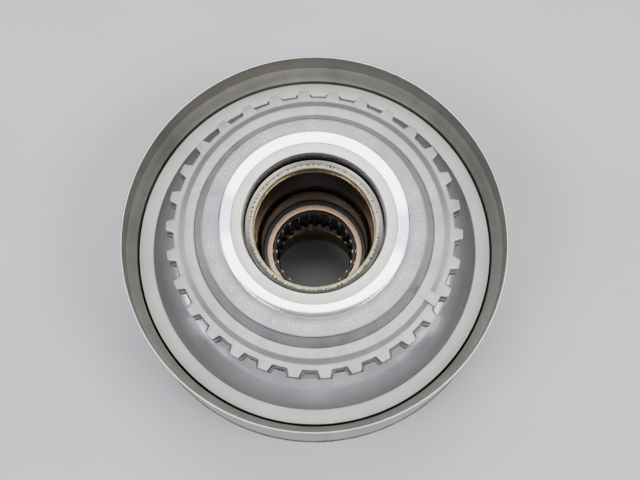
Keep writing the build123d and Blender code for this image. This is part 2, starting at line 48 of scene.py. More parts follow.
def corner(pts, closed=True, n=5):
    """Rounds the corners of a 2-D outline. A point may carry a third value, its radius."""
    out = []
    m = len(pts)
    for i in range(m):
        p = pts[i]
        x, y = p[0], p[1]
        r = p[2] if len(p) > 2 else 0.0
        if r <= 0 or (not closed and i in (0, m - 1)):
            out.append((x, y))
            continue
        a, b = pts[i - 1], pts[(i + 1) % m]
        ux, uy, vx, vy = a[0] - x, a[1] - y, b[0] - x, b[1] - y
        ul, vl = math.hypot(ux, uy), math.hypot(vx, vy)
        ux, uy, vx, vy = ux / ul, uy / ul, vx / vl, vy / vl
        ang = math.acos(max(-1, min(1, ux * vx + uy * vy)))
        t = r / math.tan(ang / 2)
        lim = 0.49 * min(ul, vl)
        if t > lim:
            t = lim
            r = t * math.tan(ang / 2)
        bx, by = ux + vx, uy + vy
        bl = math.hypot(bx, by)
        bx, by = bx / bl, by / bl
        d = r / math.sin(ang / 2)
        cx, cy = x + bx * d, y + by * d
        a0 = math.atan2(y + uy * t - cy, x + ux * t - cx)
        a1 = math.atan2(y + vy * t - cy, x + vx * t - cx)
        da = (a1 - a0 + math.pi) % (2 * math.pi) - math.pi
        k = max(2, int(math.ceil(abs(da) / math.radians(90) * n)))
        for j in range(k + 1):
            q = a0 + da * j / k
            out.append((cx + r * math.cos(q), cy + r * math.sin(q)))
    return out


def mesh_object(name, verts, faces, mats, smooth=True, mat_ids=None, sharp=SHARP):
    me = bpy.data.meshes.new(name)
    me.from_pydata([(x * MM, y * MM, z * MM) for x, y, z in verts], [], faces)
    me.validate()
    for m in (mats if isinstance(mats, (list, tuple)) else [mats]):
        me.materials.append(m)
    if mat_ids:
        for poly, k in zip(me.polygons, mat_ids):
            poly.material_index = k
    if smooth:
        me.polygons.foreach_set("use_smooth", [True] * len(me.polygons))
        me.set_sharp_from_angle(angle=sharp)
    me.update()
    ob = bpy.data.objects.new(name, me)
    bpy.context.scene.collection.objects.link(ob)
    return ob


def lathe_data(prof, seg=240, phase=0.0):
    """Closed ring of (r, z) turned about Z."""
    n = len(prof)
    verts = []
    for i in range(seg):
        a = 2 * math.pi * i / seg + phase
        c, s = math.cos(a), math.sin(a)
        verts += [(r * c, r * s, z) for r, z in prof]
    faces = []
    for i in range(seg):
        k = (i + 1) % seg
        for j in range(n):
            l = (j + 1) % n
            faces.append((i * n + j, k * n + j, k * n + l, i * n + l))
    return verts, faces


def area2(prof):
    return sum(prof[i][0] * prof[(i + 1) % len(prof)][1] - prof[(i + 1) % len(prof)][0] * prof[i][1]
               for i in range(len(prof)))


def lathe(name, pts, mats, seg=240, pick=None, n=5):
    prof = corner(pts, True, n)
    if area2(prof) < 0:
        prof = prof[::-1]
    verts, faces = lathe_data(prof, seg)
    ids = None
    if pick:
        m = len(prof)
        row = []
        for j in range(m):
            l = (j + 1) % m
            row.append(pick((prof[j][0] + prof[l][0]) / 2, (prof[j][1] + prof[l][1]) / 2))
        ids = [row[j] for _ in range(seg) for j in range(m)]
    return mesh_object(name, verts, faces, mats, mat_ids=ids)


def polar(r, deg):
    a = math.radians(deg)
    return (r * math.cos(a), r * math.sin(a))


def join_meshes(name, parts, mats):
    """parts: list of (verts, faces) in mm. One object, separate shells."""
    V, F = [], []
    for v, f in parts:
        o = len(V)
        V += v
        F += [tuple(o + i for i in q) for q in f]
    return mesh_object(name, V, F, mats)


def rotated(verts, deg):
    a = math.radians(deg)
    c, s = math.cos(a), math.sin(a)
    return [(x * c - y * s, x * s + y * c, z) for x, y, z in verts]


def around(part, n, start=0.0):
    v, f = part
    return [(rotated(v, start + 360.0 * k / n), f) for k in range(n)]


def prism_data(outline, z0, z1, bev=0.25, steps=2, bottom=True):
    """Prism from a closed (x, y) outline with rounded top and bottom edges."""
    m = len(outline)
    if area2(outline) < 0:
        outline = outline[::-1]
    normals = []
    for i in range(m):
        ax, ay = outline[i - 1]
        bx, by = outline[i]
        cx, cy = outline[(i + 1) % m]
        n1 = (by - ay, -(bx - ax))
        n2 = (cy - by, -(cx - bx))
        l1, l2 = math.hypot(*n1) or 1, math.hypot(*n2) or 1
        nx, ny = n1[0] / l1 + n2[0] / l2, n1[1] / l1 + n2[1] / l2
        l = math.hypot(nx, ny) or 1
        nx, ny = nx / l, ny / l
        k = 1.0 / max(0.5, nx * n1[0] / l1 + ny * n1[1] / l1)
        normals.append((nx * k, ny * k))
    rows = []
    if bottom:
        for j in range(steps + 1):
            q = math.pi / 2 * j / steps
            rows.append((bev * (1 - math.sin(q)), z0 + bev * (1 - math.cos(q))))
    else:
        rows.append((0.0, z0))
    for j in range(steps + 1):
        q = math.pi / 2 * j / steps
        rows.append((bev * (1 - math.cos(q)), z1 - bev * (1 - math.sin(q))))
    verts = []
    for inset, z in rows:
        verts += [(x - nx * inset, y - ny * inset, z) for (x, y), (nx, ny) in zip(outline, normals)]
    faces = []
    for j in range(len(rows) - 1):
        for i in range(m):
            k = (i + 1) % m
            faces.append((j * m + i, j * m + k, (j + 1) * m + k, (j + 1) * m + i))
    faces.append(tuple(range(m - 1, -1, -1)))
    o = (len(rows) - 1) * m
    faces.append(tuple(range(o, o + m)))
    return verts, faces


def cyl_data(r, z0, z1, seg=24, bev=0.2, at=(0, 0)):
    v, f = prism_data([(r * math.cos(2 * math.pi * i / seg), r * math.sin(2 * math.pi * i / seg)) for i in range(seg)],
                      z0, z1, bev)
    return [(x + at[0], y + at[1], z) for x, y, z in v], f


def lying(part, zc):
    """Turns an upright part, centred on z 0, to lie along +X, lifted to zc."""
    v, f = part
    return [(z, y, -x + zc) for x, y, z in v], f


# =====================================================================
# materials
# =====================================================================
class Mat:
    """Small wrapper round a node tree with the coordinates a turned part needs."""

    def __init__(self, name):
        self.m = bpy.data.materials.new(name)
        self.m.use_nodes = True
        self.t = self.m.node_tree
        self.t.nodes.clear()
        self.out = self.t.nodes.new("ShaderNodeOutputMaterial")
        self.b = self.t.nodes.new("ShaderNodeBsdfPrincipled")
        self.t.links.new(self.b.outputs[0], self.out.inputs[0])
        co = self.t.nodes.new("ShaderNodeTexCoord")
        self.obj = co.outputs["Object"]
        sep = self.t.nodes.new("ShaderNodeSeparateXYZ")
        self.link(self.obj, sep.inputs[0])
        self.x, self.y, self.z = sep.outputs
        self.r = self.math("SQRT", self.math("ADD", self.math("MULTIPLY", self.x, self.x),
                                             self.math("MULTIPLY", self.y, self.y)))
        self.a = self.math("ARCTAN2", self.y, self.x)

    def node(self, kind, **k):
        n = self.t.nodes.new(kind)
        for key, v in k.items():
            setattr(n, key, v)
        return n

    def link(self, a, b):
        self.t.links.new(a, b)

    def put(self, sock, v):
        if isinstance(v, (int, float)):
            sock.default_value = v
        elif isinstance(v, (tuple, list)):
            sock.default_value = tuple(v) + ((1.0,) if len(v) == 3 and len(sock.default_value) == 4 else ())
        else:
            self.link(v, sock)

    def math(self, op, a, b=None, clamp=False):
        n = self.node("ShaderNodeMath", operation=op, use_clamp=clamp)
        self.put(n.inputs[0], a)
        if b is not None:
            self.put(n.inputs[1], b)
        return n.outputs[0]

    def vec(self, x, y, z):
        n = self.node("ShaderNodeCombineXYZ")
        for s, v in zip(n.inputs, (x, y, z)):
            self.put(s, v)
        return n.outputs[0]

    def noise(self, vec, scale, detail=3.0, rough=0.55, dist=0.0):
        n = self.node("ShaderNodeTexNoise")
        self.put(n.inputs["Vector"], vec)
        n.inputs["Scale"].default_value = scale
        n.inputs["Detail"].default_value = detail
        n.inputs["Roughness"].default_value = rough
        n.inputs["Distortion"].default_value = dist
        return n.outputs["Fac"]

    def turned(self, rs, az, zs, detail=2.0):
        """Noise that runs round the axis: fine across the radius, long along the angle."""
        c = self.math("MULTIPLY", self.math("COSINE", self.a), az)
        s = self.math("MULTIPLY", self.math("SINE", self.a), az)
        q = self.math("ADD", self.math("MULTIPLY", self.r, rs), self.math("MULTIPLY", self.z, zs))
        return self.noise(self.vec(c, s, q), 1.0, detail, 0.6)

    def radial(self, ang, rs, detail=2.0):
        """Noise that runs outwards from the axis: fine along the angle."""
        c = self.math("MULTIPLY", self.math("COSINE", self.a), ang)
        s = self.math("MULTIPLY", self.math("SINE", self.a), ang)
        return self.noise(self.vec(c, s, self.math("MULTIPLY", self.r, rs)), 1.0, detail, 0.6)

    def ramp(self, fac, stops, mode="LINEAR"):
        n = self.node("ShaderNodeValToRGB")
        n.color_ramp.interpolation = mode
        e = n.color_ramp.elements
        while len(e) < len(stops):
            e.new(0.5)
        for el, (p, c) in zip(e, stops):
            el.position = p
            el.color = tuple(c) + (1.0,) if len(c) == 3 else c
        self.put(n.inputs[0], fac)
        return n.outputs[0]

    def scale(self, fac, lo, hi, out_lo, out_hi):
        n = self.node("ShaderNodeMapRange")
        self.put(n.inputs[0], fac)
        for i, v in zip((1, 2, 3, 4), (lo, hi, out_lo, out_hi)):
            n.inputs[i].default_value = v
        return n.outputs[0]

    def mix(self, fac, a, b, blend="MIX"):
        n = self.node("ShaderNodeMix", data_type="RGBA", blend_type=blend)
        self.put(n.inputs["Factor"], fac)
        self.put([s for s in n.inputs if s.name == "A" and s.type == "RGBA"][0], a)
        self.put([s for s in n.inputs if s.name == "B" and s.type == "RGBA"][0], b)
        return [s for s in n.outputs if s.type == "RGBA"][0]

    def bump(self, height, strength, dist, normal=None):
        n = self.node("ShaderNodeBump")
        n.inputs["Strength"].default_value = strength
        n.inputs["Distance"].default_value = dist
        self.put(n.inputs["Height"], height)
        if normal is not None:
            self.link(normal, n.inputs["Normal"])
        return n.outputs["Normal"]

    def set(self, **k):
        names = {"color": "Base Color", "metal": "Metallic", "rough": "Roughness", "normal": "Normal",
                 "coat": "Coat Weight", "coat_rough": "Coat Roughness", "spec": "Specular IOR Level",
                 "aniso": "Anisotropic"}
        for key, v in k.items():
            self.put(self.b.inputs[names[key]], v)
        return self.m


def turned_metal(name, base, dark, rough, groove=0.25, streak=0.35, grain=2600.0, spots=0.0, spot_color=(0.05, 0.045, 0.04),
                 rough_var=0.08, metal=1.0, wear=0.0, dist=0.00003):
    """Lathe-turned metal: rings round the axis, cloudy tone, small stains."""
    m = Mat(name)
    rings = m.turned(grain, 1.2, grain, 3.0)
    wide = m.turned(grain * 0.12, 2.0, grain * 0.12, 2.0)
    cloud = m.noise(m.obj, 45.0, 4.0, 0.6)
    fine = m.noise(m.obj, 900.0, 2.0, 0.6)
    tone = m.math("ADD", m.math("MULTIPLY", rings, streak), m.math("MULTIPLY", wide, streak))
    tone = m.math("ADD", tone, m.math("MULTIPLY", cloud, 1.0 - streak))
    col = m.ramp(m.scale(tone, 0.25, 0.85 + streak * 0.5, 0.0, 1.0), [(0.0, dark), (1.0, base)])
    col = m.mix(m.scale(m.radial(6.0, 20.0, 3.0), 0.42, 0.68, 0.0, 0.30), col, tuple(v * 0.75 for v in dark))
    if spots > 0:
        sp = m.noise(m.obj, 260.0, 5.0, 0.75)
        mask = m.scale(sp, 0.66, 0.74, 0.0, spots)
        col = m.mix(mask, col, spot_color)
    rg = m.math("ADD", m.scale(m.math("ADD", cloud, rings), 0.6, 1.4, rough - rough_var, rough + rough_var), 0.0, True)
    n = m.bump(rings, groove, dist)
    n = m.bump(fine, groove * 0.35, dist, n)
    return m.set(color=col, metal=metal, rough=rg, normal=n)


def cast_metal(name, base, dark, rough, grain=1500.0, bump=0.35, metal=1.0, rings=0.0, dist=0.0001):
    m = Mat(name)
    g = m.noise(m.obj, grain, 4.0, 0.65)
    c = m.noise(m.obj, 70.0, 5.0, 0.62)
    s = m.noise(m.obj, 320.0, 3.0, 0.6)
    tone = m.math("ADD", m.math("MULTIPLY", g, 0.25), m.math("ADD", m.math("MULTIPLY", c, 0.50), m.math("MULTIPLY", s, 0.25)))
    col = m.ramp(m.scale(tone, 0.38, 0.62, 0.0, 1.0), [(0.0, dark), (1.0, base)])
    col = m.mix(m.scale(m.radial(5.0, 25.0, 3.0), 0.40, 0.66, 0.0, 0.35), col, tuple(v * 0.72 for v in dark))
    rg = m.scale(c, 0.3, 0.7, rough - 0.07, rough + 0.07)
    n = m.bump(g, bump, dist)
    n = m.bump(s, bump * 0.5, dist * 2, n)
    if rings > 0:
        n = m.bump(m.turned(1500.0, 1.2, 1500.0, 2.0), rings, dist * 0.5, n)
    return m.set(color=col, metal=metal, rough=rg, normal=n)


M = {}
M["rim"] = turned_metal("rim_wall", (0.40, 0.385, 0.36), (0.24, 0.23, 0.21), 0.46, 0.35, 0.40, 1200.0, 0.30, metal=0.85)
M["rim_edge"] = turned_metal("rim_edge", (0.56, 0.55, 0.53), (0.38, 0.37, 0.35), 0.38, 0.2, 0.4, 2600.0)
M["ledge"] = turned_metal("rim_ledge", (0.66, 0.645, 0.61), (0.36, 0.35, 0.325), 0.42, 0.3, 0.50, 900.0, 0.35, metal=0.75)
M["outer"] = turned_metal("drum_outside", (0.42, 0.41, 0.40), (0.26, 0.255, 0.25), 0.42, 0.35, 0.35, 1400.0, 0.2)
M["shell"] = cast_metal("pressed_shell", (0.36, 0.36, 0.365), (0.22, 0.22, 0.225), 0.46, 900.0, 0.22, 1.0, 0.25)
M["weld"] = cast_metal("weld_metal", (0.34, 0.31, 0.29), (0.16, 0.14, 0.13), 0.42, 600.0, 0.5)
M["ring_b"] = turned_metal("friction_face", (0.56, 0.55, 0.525), (0.41, 0.40, 0.375), 0.52, 0.35, 0.35, 1700.0, 0.55,
                           (0.20, 0.18, 0.15), 0.06, metal=0.8)


def bowl_metal(name):
    """Polished towards the floor, duller and lathe-marked up the wall; the bright bluish-white floor colour is a
    painted reflection.
    """
    m = Mat(name)
    rings = m.turned(800.0, 1.6, 800.0, 3.0)
    wide = m.turned(150.0, 2.5, 150.0, 2.0)
    cloud = m.noise(m.obj, 60.0, 4.0, 0.6)
    fine = m.noise(m.obj, 900.0, 2.0, 0.6)
    up = m.scale(m.r, 0.0775, 0.0850, 0.0, 1.0)
    tone = m.math("ADD", m.math("MULTIPLY", wide, 0.45), m.math("ADD", m.math("MULTIPLY", cloud, 0.35), m.math("MULTIPLY", rings, 0.2)))
    wall = m.ramp(m.scale(tone, 0.3, 0.7, 0.0, 1.0), [(0.0, (0.38, 0.38, 0.375)), (1.0, (0.53, 0.53, 0.52))])
    # Painted reflection: the bluish-white floor colour stands in for the surroundings mirrored in the polished floor.
    floor = m.ramp(m.scale(tone, 0.3, 0.7, 0.0, 1.0), [(0.0, (0.78, 0.81, 0.88)), (1.0, (0.95, 0.96, 0.99))])
    col = m.mix(up, floor, wall)
    met = m.scale(up, 0.0, 1.0, 0.70, 0.45)
    rg = m.math("ADD", m.scale(up, 0.0, 1.0, 0.24, 0.38), m.scale(cloud, 0.3, 0.7, -0.03, 0.05))
    n = m.bump(rings, 0.15, 0.00002)
    n = m.bump(fine, 0.08, 0.00002, n)
    return m.set(color=col, metal=met, rough=rg, normal=n)


M["bowl"] = bowl_metal("polished_bowl")
M["clutch"] = cast_metal("clutch_hub_satin", (0.56, 0.56, 0.55), (0.36, 0.36, 0.355), 0.50, 1900.0, 0.40, 0.75, 0.40)
M["slope"] = turned_metal("clutch_hub_slope", (0.46, 0.46, 0.45), (0.33, 0.33, 0.325), 0.46, 0.3, 0.5, 1600.0, metal=0.75)
M["cast"] = cast_metal("hub_casting", (0.52, 0.53, 0.55), (0.32, 0.33, 0.35), 0.50, 1200.0, 0.65, 0.75, 0.0)
# Painted highlight: the raised casting marks are coloured lighter than the casting round them, for the light on their
# tops.
M["mark"] = cast_metal("casting_mark_tops", (0.74, 0.75, 0.77), (0.56, 0.57, 0.59), 0.46, 1200.0, 0.40, 0.60, 0.0)
M["step"] = turned_metal("hub_step_wall", (0.54, 0.54, 0.55), (0.36, 0.36, 0.37), 0.42, 0.3, 0.4, 1400.0)
M["nose"] = turned_metal("hub_nose_fine_turned", (0.56, 0.58, 0.545), (0.44, 0.455, 0.425), 0.40, 0.45, 0.6, 3000.0, 0.08)


def mirror_metal(name):
    """Ground ring, with a painted blue-violet reflection on two opposite sides, left and right."""
    m = Mat(name)
    rings = m.turned(2400.0, 1.2, 2400.0, 3.0)
    cloud = m.noise(m.obj, 80.0, 3.0, 0.6)
    speck = m.noise(m.obj, 700.0, 4.0, 0.7)
    # Painted reflection: a blue-violet tint on the two sides of the ring that face left and right.
    side = m.math("ABSOLUTE", m.math("COSINE", m.math("ADD", m.a, 0.10)))
    side = m.math("ADD", side, m.scale(speck, 0.3, 0.7, -0.012, 0.012))
    painted_reflection_mask = m.scale(side, 0.955, 0.985, 0.0, 0.9)
    base = m.ramp(m.scale(m.math("ADD", m.math("MULTIPLY", rings, 0.4), m.math("MULTIPLY", cloud, 0.6)), 0.3, 0.7, 0.0, 1.0),
                  [(0.0, (0.80, 0.82, 0.82)), (1.0, (0.88, 0.90, 0.89))])
    painted_blue_reflection = m.ramp(m.scale(speck, 0.35, 0.65, 0.0, 1.0), [(0.0, (0.24, 0.26, 0.40)), (1.0, (0.42, 0.44, 0.58))])
    n = m.bump(rings, 0.04, 0.00001)
    return m.set(color=m.mix(painted_reflection_mask, base, painted_blue_reflection), metal=1.0, rough=m.scale(m.math("ADD", cloud, rings), 0.6, 1.4, 0.07, 0.13), normal=n)


M["mirror"] = mirror_metal("pilot_ring_mirror")
# Painted shade: the hub bore is coloured nearly black for the shade inside it; the teal tint of the lower bore is a
# painted reflection.
M["bore"] = turned_metal("hub_bore", (0.070, 0.048, 0.050), (0.020, 0.014, 0.020), 0.20, 0.25, 0.5, 900.0, 0.2,
                         (0.02, 0.02, 0.025), 0.06)
M["bore_low"] = turned_metal("hub_bore_lower", (0.040, 0.042, 0.042), (0.012, 0.020, 0.024), 0.40, 0.15, 0.5, 900.0, 0.2,
                             (0.02, 0.02, 0.025), 0.05, metal=0.7)
# Painted highlight: the rounded step edges in the bore are coloured bright gold for the golden glints along them.
M["bore_edge"] = turned_metal("bore_edges", (0.80, 0.58, 0.34), (0.45, 0.31, 0.17), 0.20, 0.2, 0.4, 1600.0)


def painted_shade_dark(name):
    """Nearly black spline with a little grain; the black is painted shade for the depth of the bore."""
    m = Mat(name)
    g = m.noise(m.obj, 900.0, 3.0, 0.6)
    c = m.noise(m.obj, 160.0, 3.0, 0.6)
    m.set(color=m.ramp(c, [(0.3, (0.003, 0.003, 0.004)), (0.7, (0.007, 0.006, 0.006))]), metal=0.0,
          rough=m.scale(c, 0.3, 0.7, 0.6, 0.8), normal=m.bump(g, 0.2, 0.00003))
    m.b.inputs["Specular IOR Level"].default_value = 0.2
    return m.m


# Painted shade: the spline deep in the bore is coloured nearly black.
M["bore_dark"] = painted_shade_dark("spline_painted_shade")
# Painted shade: the cup's inner wall, the needle rollers and their cage are coloured dark for the shade inside the
# bore.
M["cup_in"] = turned_metal("cup_wall_painted_shade", (0.07, 0.045, 0.035), (0.02, 0.015, 0.014), 0.36, 0.25, 0.5, 1200.0)
M["roller"] = turned_metal("needle_rollers_painted_shade", (0.15, 0.135, 0.12), (0.06, 0.055, 0.05), 0.18, 0.1, 0.4, 2000.0)
M["cage_dark"] = turned_metal("needle_cage_painted_shade", (0.040, 0.034, 0.030), (0.015, 0.013, 0.012), 0.40, 0.25, 0.4, 1800.0)
M["copper"] = turned_metal("needle_cup_copper", (0.60, 0.41, 0.29), (0.42, 0.27, 0.18), 0.46, 0.3, 0.4, 2200.0, 0.15,
                           (0.35, 0.22, 0.15))
M["brass"] = turned_metal("thrust_cage_yellow", (0.36, 0.34, 0.24), (0.20, 0.185, 0.12), 0.36, 0.3, 0.4, 2200.0, 0.2)
M["needle"] = turned_metal("thrust_needles", (0.30, 0.285, 0.22), (0.18, 0.165, 0.12), 0.30, 0.2, 0.4, 2200.0)
M["bearing"] = turned_metal("bearing_steel", (0.66, 0.655, 0.63), (0.46, 0.455, 0.43), 0.2, 0.15, 0.4, 2200.0)
M["cage"] = turned_metal("cage_steel", (0.40, 0.37, 0.32), (0.22, 0.20, 0.17), 0.36, 0.25, 0.4, 1800.0)
M["machined"] = turned_metal("machined_steel", (0.56, 0.555, 0.55), (0.38, 0.375, 0.37), 0.32, 0.35, 0.5, 1800.0, 0.1)
M["plate"] = cast_metal("pressed_plate", (0.36, 0.36, 0.355), (0.20, 0.20, 0.195), 0.42, 1200.0, 0.25, 1.0, 0.2)
# Painted shade: the spacer seen between the teeth is coloured dark for the shade in the gaps.
M["spacer"] = cast_metal("clutch_spacer_painted_shade", (0.15, 0.15, 0.148), (0.07, 0.07, 0.068), 0.46, 1200.0, 0.25, 0.85, 0.2)
M["spring"] = cast_metal("spring_wire", (0.24, 0.25, 0.28), (0.10, 0.10, 0.12), 0.30, 1500.0, 0.2)
M["bronze"] = turned_metal("bush_bronze", (0.34, 0.235, 0.13), (0.20, 0.135, 0.07), 0.40, 0.3, 0.4, 1500.0, 0.2)
M["blade"] = cast_metal("blade_sheet", (0.45, 0.45, 0.46), (0.30, 0.30, 0.31), 0.34, 900.0, 0.2)


def rubber(name):
    m = Mat(name)
    g = m.noise(m.obj, 1400.0, 3.0, 0.6)
    c = m.noise(m.obj, 120.0, 3.0, 0.6)
    col = m.ramp(c, [(0.3, (0.018, 0.018, 0.019)), (0.7, (0.035, 0.034, 0.033))])
    return m.set(color=col, metal=0.0, rough=m.scale(c, 0.3, 0.7, 0.5, 0.7), normal=m.bump(g, 0.3, 0.00005))


M["rubber"] = rubber("seal_rubber")


def paint_cad(node, mat, slot=None):
    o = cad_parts[node]
    o.data.materials.clear()
    o.data.materials.append(mat)


def piece(ob, body, *nodes, slot=None):
    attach(ob, body)
    if nodes:
        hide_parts(*nodes)
    return ob


# =====================================================================
# housing
# =====================================================================
SEG = 360


def pick_rim(r, z):
    if z > 110.55 and r < 102.95:
        return 1
    if r > 102.6:
        return 3
    if z < 96.7:
        return 2
    return 0


ledge_arc = []
# concave ledge from the register down to the neck
c0, c1, c2 = (101.8, 96.6), (100.2, 91.4), (97.4, 88.0)
ax, ay, bx, by, cx, cy = *c0, *c1, *c2
dd = 2 * (ax * (by - cy) + bx * (cy - ay) + cx * (ay - by))
ox = ((ax * ax + ay * ay) * (by - cy) + (bx * bx + by * by) * (cy - ay) + (cx * cx + cy * cy) * (ay - by)) / dd
oy = ((ax * ax + ay * ay) * (cx - bx) + (bx * bx + by * by) * (ax - cx) + (cx * cx + cy * cy) * (bx - ax)) / dd
rad = math.hypot(ax - ox, ay - oy)
t0, t2 = math.atan2(ay - oy, ax - ox), math.atan2(cy - oy, cx - ox)
dt = (t2 - t0 + math.pi) % (2 * math.pi) - math.pi
for j in range(13):
    q = t0 + dt * j / 12
    ledge_arc.append((ox + rad * math.cos(q), oy + rad * math.sin(q)))
rim_pts = [(99.6, 55.6, 0.2), (103.0, 55.6, 0.2), (103.0, 76.0), (103.0, 111.0, 0.35), (101.82, 111.0, 0.3),
           (101.8, 104.0)] + ledge_arc + [(97.4, 82.0, 0.3), (99.6, 79.8, 0.3)]
rim = lathe("cover_rim_turned", rim_pts, [M["rim"], M["rim_edge"], M["ledge"], M["outer"]], SEG, pick_rim)
piece(rim, "housing", "cover_rim", slot="drum_steel")


# four-arc oval of the torus
def oval_z(a, b, r, radius):
    h = ((a - r) ** 2 - (b - r) ** 2) / (2 * (b - r))
    big = b + h
    e = a - r
    x = abs(radius - 69.5)
    tx = e / math.hypot(e, h) * big
    if x <= tx:
        return math.sqrt(max(0, big ** 2 - x ** 2)) - h
    if x - e >= r:
        return 0.0
    return math.sqrt(r ** 2 - (x - e) ** 2)


def shell_curve(a, b, e, grow, r0, r1, n=40):
    pts = []
    for i in range(n + 1):
        q = i / n
        r = r0 + (r1 - r0) * (0.5 - 0.5 * math.cos(math.pi * q))
        pts.append((r, oval_z(a + grow, b + grow, e + grow, r)))
    return pts


outer = [(r, 43.0 - z) for r, z in shell_curve(29.5, 20.5, 14.0, 3.0, 46.6, 101.9)]
inner = [(r, 43.0 - z) for r, z in shell_curve(29.5, 20.5, 14.0, 0.0, 46.4, 98.9)]
imp_pts = ([(30.0, 27.0), (44.0, 27.0, 1.2)] + outer + [(102.0, 42.6, 0.5), (103.0, 44.6, 0.8), (103.0, 55.6, 0.2), (99.6, 55.6, 0.2),
           (99.6, 43.2)] + inner[::-1] + [(30.0, 30.6)])
imp = lathe("impeller_shell_pressed", imp_pts, M["shell"], SEG)
piece(imp, "housing", "impeller_shell", slot="shell_steel")

# weld bead with ripples
V, F = [], []
segs, rows = 720, 9
for i in range(segs):
    a = 2 * math.pi * i / segs
    rip = 0.16 * abs(math.sin(a * 90)) + 0.05 * math.sin(a * 37 + 1.0)
    for j in range(rows):
        q = math.pi * j / (rows - 1)
        V.append(((102.95 + (0.72 + rip * 0.9) * math.sin(q)) * math.cos(a), (102.95 + (0.72 + rip * 0.9) * math.sin(q)) * math.sin(a),
                  55.6 - 2.4 * math.cos(q) + 0.15 * math.sin(a * 90 + 2 * q)))
for i in range(segs):
    k = (i + 1) % segs
    for j in range(rows):
        l = (j + 1) % rows
        F.append((i * rows + j, k * rows + j, k * rows + l, i * rows + l))
weld = mesh_object("weld_bead_rippled", V, F, M["weld"], sharp=math.radians(60))
piece(weld, "housing", "weld_bead", slot="weld_steel")

# pump drive hub: two drive slots, chamfered end, turned outside
hub_out = []
N = 240
half = math.degrees(math.asin(4.5 / 29.0))


def in_slot(deg):
    d = abs(((deg + 90) % 180) - 90)
    return d < half


angs = sorted(set([360.0 * i / N for i in range(N)] + [s + t for s in (0, 180, 360) for t in (-half, half, -half - 0.02, half + 0.02)
                                                       if 0 <= s + t < 360]))
V, F = [], []
rowsets = []
for d in angs:
    cut = in_slot(d) or abs(abs(((d + 90) % 180) - 90) - half) < 1e-6
    zb = 8.0 if cut else 0.0
    ch = 0.8 if not cut else 0.0
    prof = [(25.6 + (0.5 if not cut else 0.0), zb), (29.0 - ch, zb), (29.0, zb + ch + 0.001), (29.0, 19.0), (30.0, 19.8), (30.0, 30.62), (38.0 - 0.3, 30.62),
            (38.0, 30.9), (38.0, 33.3), (37.7, 33.6), (25.9, 33.6), (25.6, 33.3), (25.6, zb + 0.6)]
    rowsets.append([(r * math.cos(math.radians(d)), r * math.sin(math.radians(d)), z) for r, z in prof])
m = len(rowsets[0])
for row in rowsets:
    V += row
for i in range(len(rowsets)):
    k = (i + 1) % len(rowsets)
    for j in range(m):
        l = (j + 1) % m
        F.append((i * m + j, k * m + j, k * m + l, i * m + l))
hub = mesh_object("pump_drive_hub_turned", V, F, M["machined"])
piece(hub, "housing", "pump_drive_hub", slot="machined_steel")
bush = lathe("pump_hub_bush_split", [(24.6, 9.0, 0.4), (25.6, 9.0, 0.1), (25.6, 29.0, 0.1), (24.6, 29.0, 0.4)], M["bronze"], 200)
piece(bush, "housing", "pump_hub_bush", slot="bronze")

for n, k in (("balance_weights", "machined"), ("impeller_blades", "blade"), ("impeller_core_ring", "blade"), ("rear_bearing_race", "bearing"),
             ("rear_bearing_cage", "cage"), ("rear_bearing_needles", "bearing"), ("stator_inner_race", "machined"),
             ("clutch_outer_race", "machined"), ("clutch_rollers", "bearing"), ("roller_springs", "spring"), ("stator_wheel", "cast"),
             ("stator_thrust_plate", "bearing"), ("stator_retainer_plate", "bearing"), ("stator_snap_ring", "spring"),
             ("stator_bearing_cage", "cage"), ("stator_bearing_needles", "bearing"), ("turbine_bearing_race", "bearing"),
             ("turbine_shell", "shell"), ("turbine_blades", "blade"), ("turbine_core_ring", "blade"), ("turbine_rivets", "machined"),
             ("piston_inner_seal", "rubber"), ("piston_stop_ring", "spring"), ("damper_flange", "machined"),
             ("damper_lower_plate", "plate"), ("damper_upper_plate", "plate"), ("stop_pins", "machined"),
             ("damper_springs", "spring"), ("piston_drive_lugs", "plate"),
             ("needle_cage", "cage_dark"), ("needle_rollers", "roller"), ("front_thrust_race", "cage"), ("front_thrust_cage", "brass"),
             ("front_thrust_needles", "needle"), ("index_key", "clutch")):
    paint_cad(n, M[k])

# =====================================================================
# piston, friction ring
# =====================================================================
cx, cz, R0, R1 = 75.4, 87.0, 13.0, 15.5
seat = 85.6
in_arc, out_arc = [], []
a_top = math.asin((cz - seat) / R0)
for j in range(25):
    q = a_top + (math.pi / 2 - a_top) * j / 24
    in_arc.append((cx + R0 * math.cos(q), cz - R0 * math.sin(q)))
a_top = math.asin((cz - 83.1) / R1)
for j in range(17):
    q = math.pi / 2 - (math.pi / 2 - a_top) * j / 16
    out_arc.append((cx + R1 * math.cos(q), cz - R1 * math.sin(q)))
pist_pts = (in_arc + [(39.2, 74.0, 0.6), (37.8, 75.4, 0.4), (37.8, 81.0, 0.5), (35.06, 81.0, 0.4), (35.06, 71.5, 0.4)] + out_arc
            + [(96.2, 83.1, 0.5), (96.2, 85.6, 0.15)])
piston = lathe("lockup_piston_polished", pist_pts, M["bowl"], SEG)
piece(piston, "piston", "lockup_piston", slot="polished_steel")
fr = lathe("friction_ring_face", [(88.4, 85.6, 0.1), (96.2, 85.6, 0.1), (96.2, 87.0, 0.35), (88.4, 87.0, 0.25)], M["ring_b"], SEG)
piece(fr, "piston", "friction_ring", slot="ring_steel")


